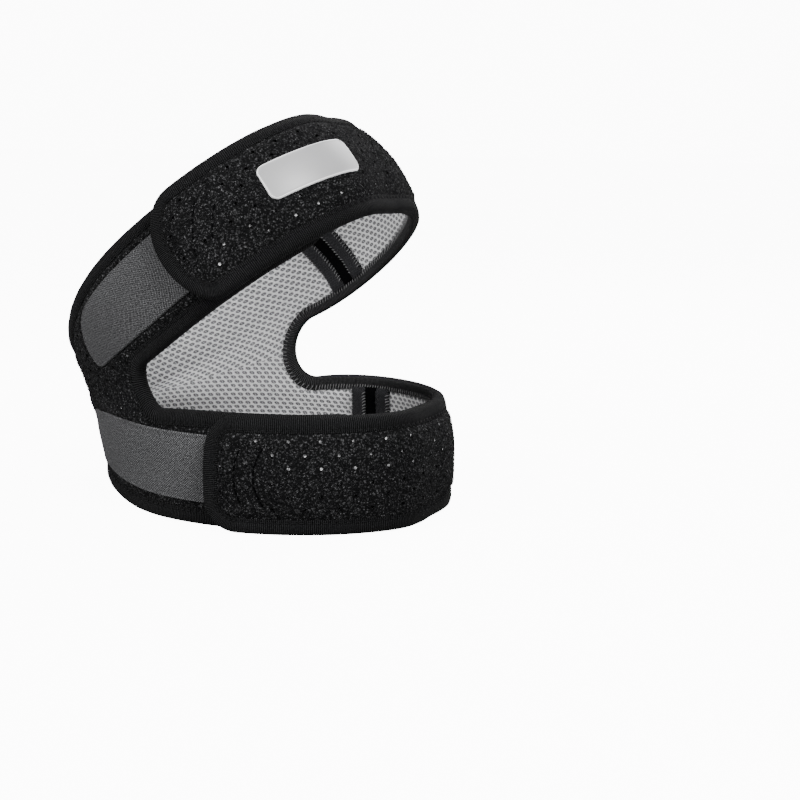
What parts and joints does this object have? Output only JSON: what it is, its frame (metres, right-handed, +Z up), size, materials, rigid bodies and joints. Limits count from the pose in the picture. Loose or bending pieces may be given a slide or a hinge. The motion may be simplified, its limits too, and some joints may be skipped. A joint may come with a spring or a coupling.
{
  "type": "patella strap",
  "caption": "Padded knee strap whose two rings, one above and one below the kneecap, meet in a panel behind the knee.",
  "frame": {"origin": "centre of the box's bottom face, on the floor that the lower ring's edge stands on", "axes": "+Z up the leg, +Y towards the back of the knee, -Y towards the open front, +X towards the far side, opposite the laps"},
  "size_m": [0.1404, 0.1662, 0.1522],
  "materials": {
    "loop_fabric": "matt black brushed loop fabric",
    "mesh_lining": "light grey knitted air mesh",
    "edge_tape": "black ribbed binding tape",
    "loop_pad": "dark grey short loop pile",
    "hook_pad": "black moulded hooks",
    "velvet": "black velvet",
    "label": "light grey satin, blank"
  },
  "bodies": {
    "root": {"padded_shell": "loop_fabric", "mesh_lining": "mesh_lining", "bottom_edge_tape": "edge_tape", "far_window_tape": "edge_tape", "top_edge_tape": "edge_tape", "near_window_tape": "edge_tape", "lower_loop_pad": "loop_pad", "lower_hook_pad": "hook_pad", "upper_loop_pad": "loop_pad", "upper_hook_pad": "hook_pad", "upper_back_flap": "loop_fabric", "upper_front_flap": "loop_fabric", "upper_velvet_strip": "velvet", "lower_back_flap": "loop_fabric", "lower_front_flap": "loop_fabric", "lower_velvet_strip": "velvet", "label": "label"}
  },
  "joints": []
}
